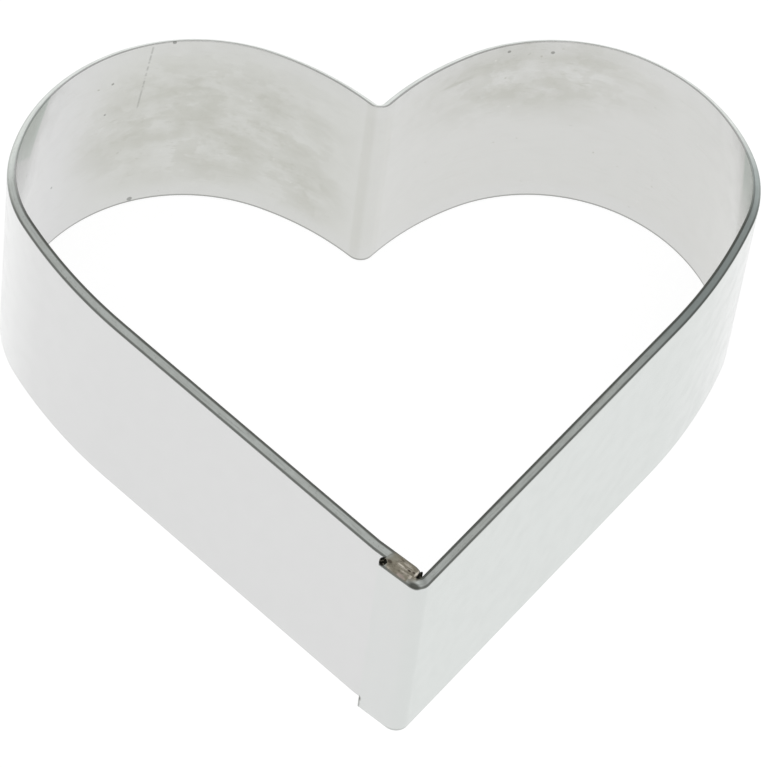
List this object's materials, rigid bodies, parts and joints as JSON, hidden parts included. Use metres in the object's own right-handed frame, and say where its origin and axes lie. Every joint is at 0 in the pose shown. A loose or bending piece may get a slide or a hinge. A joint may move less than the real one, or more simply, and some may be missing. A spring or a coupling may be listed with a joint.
{
  "type": "cookie cutter",
  "caption": "Heart-shaped cookie cutter: a bare sheet-metal band on edge, with a cleft, round lobes, a pointed tip and a welded lap joint beside the tip.",
  "frame": {"origin": "on the plane of the lower edge, under the centre of the heart's bounding box", "axes": "+X across the heart to its right lobe, +Y from the tip to the lobes, +Z from the lower edge up to the rim"},
  "size_m": [0.062, 0.0558, 0.02],
  "materials": {
    "band": "satin sheet with faint cloudy stains and fine scratches",
    "weld": "ground flush, with a brown and straw heat tint",
    "nugget": "fused metal, hidden inside the lap"
  },
  "bodies": {
    "root": {"heart_band": "band", "seam_weld": "weld", "spot_weld_lower": "nugget", "spot_weld_middle": "nugget", "spot_weld_upper": "nugget"}
  },
  "joints": []
}
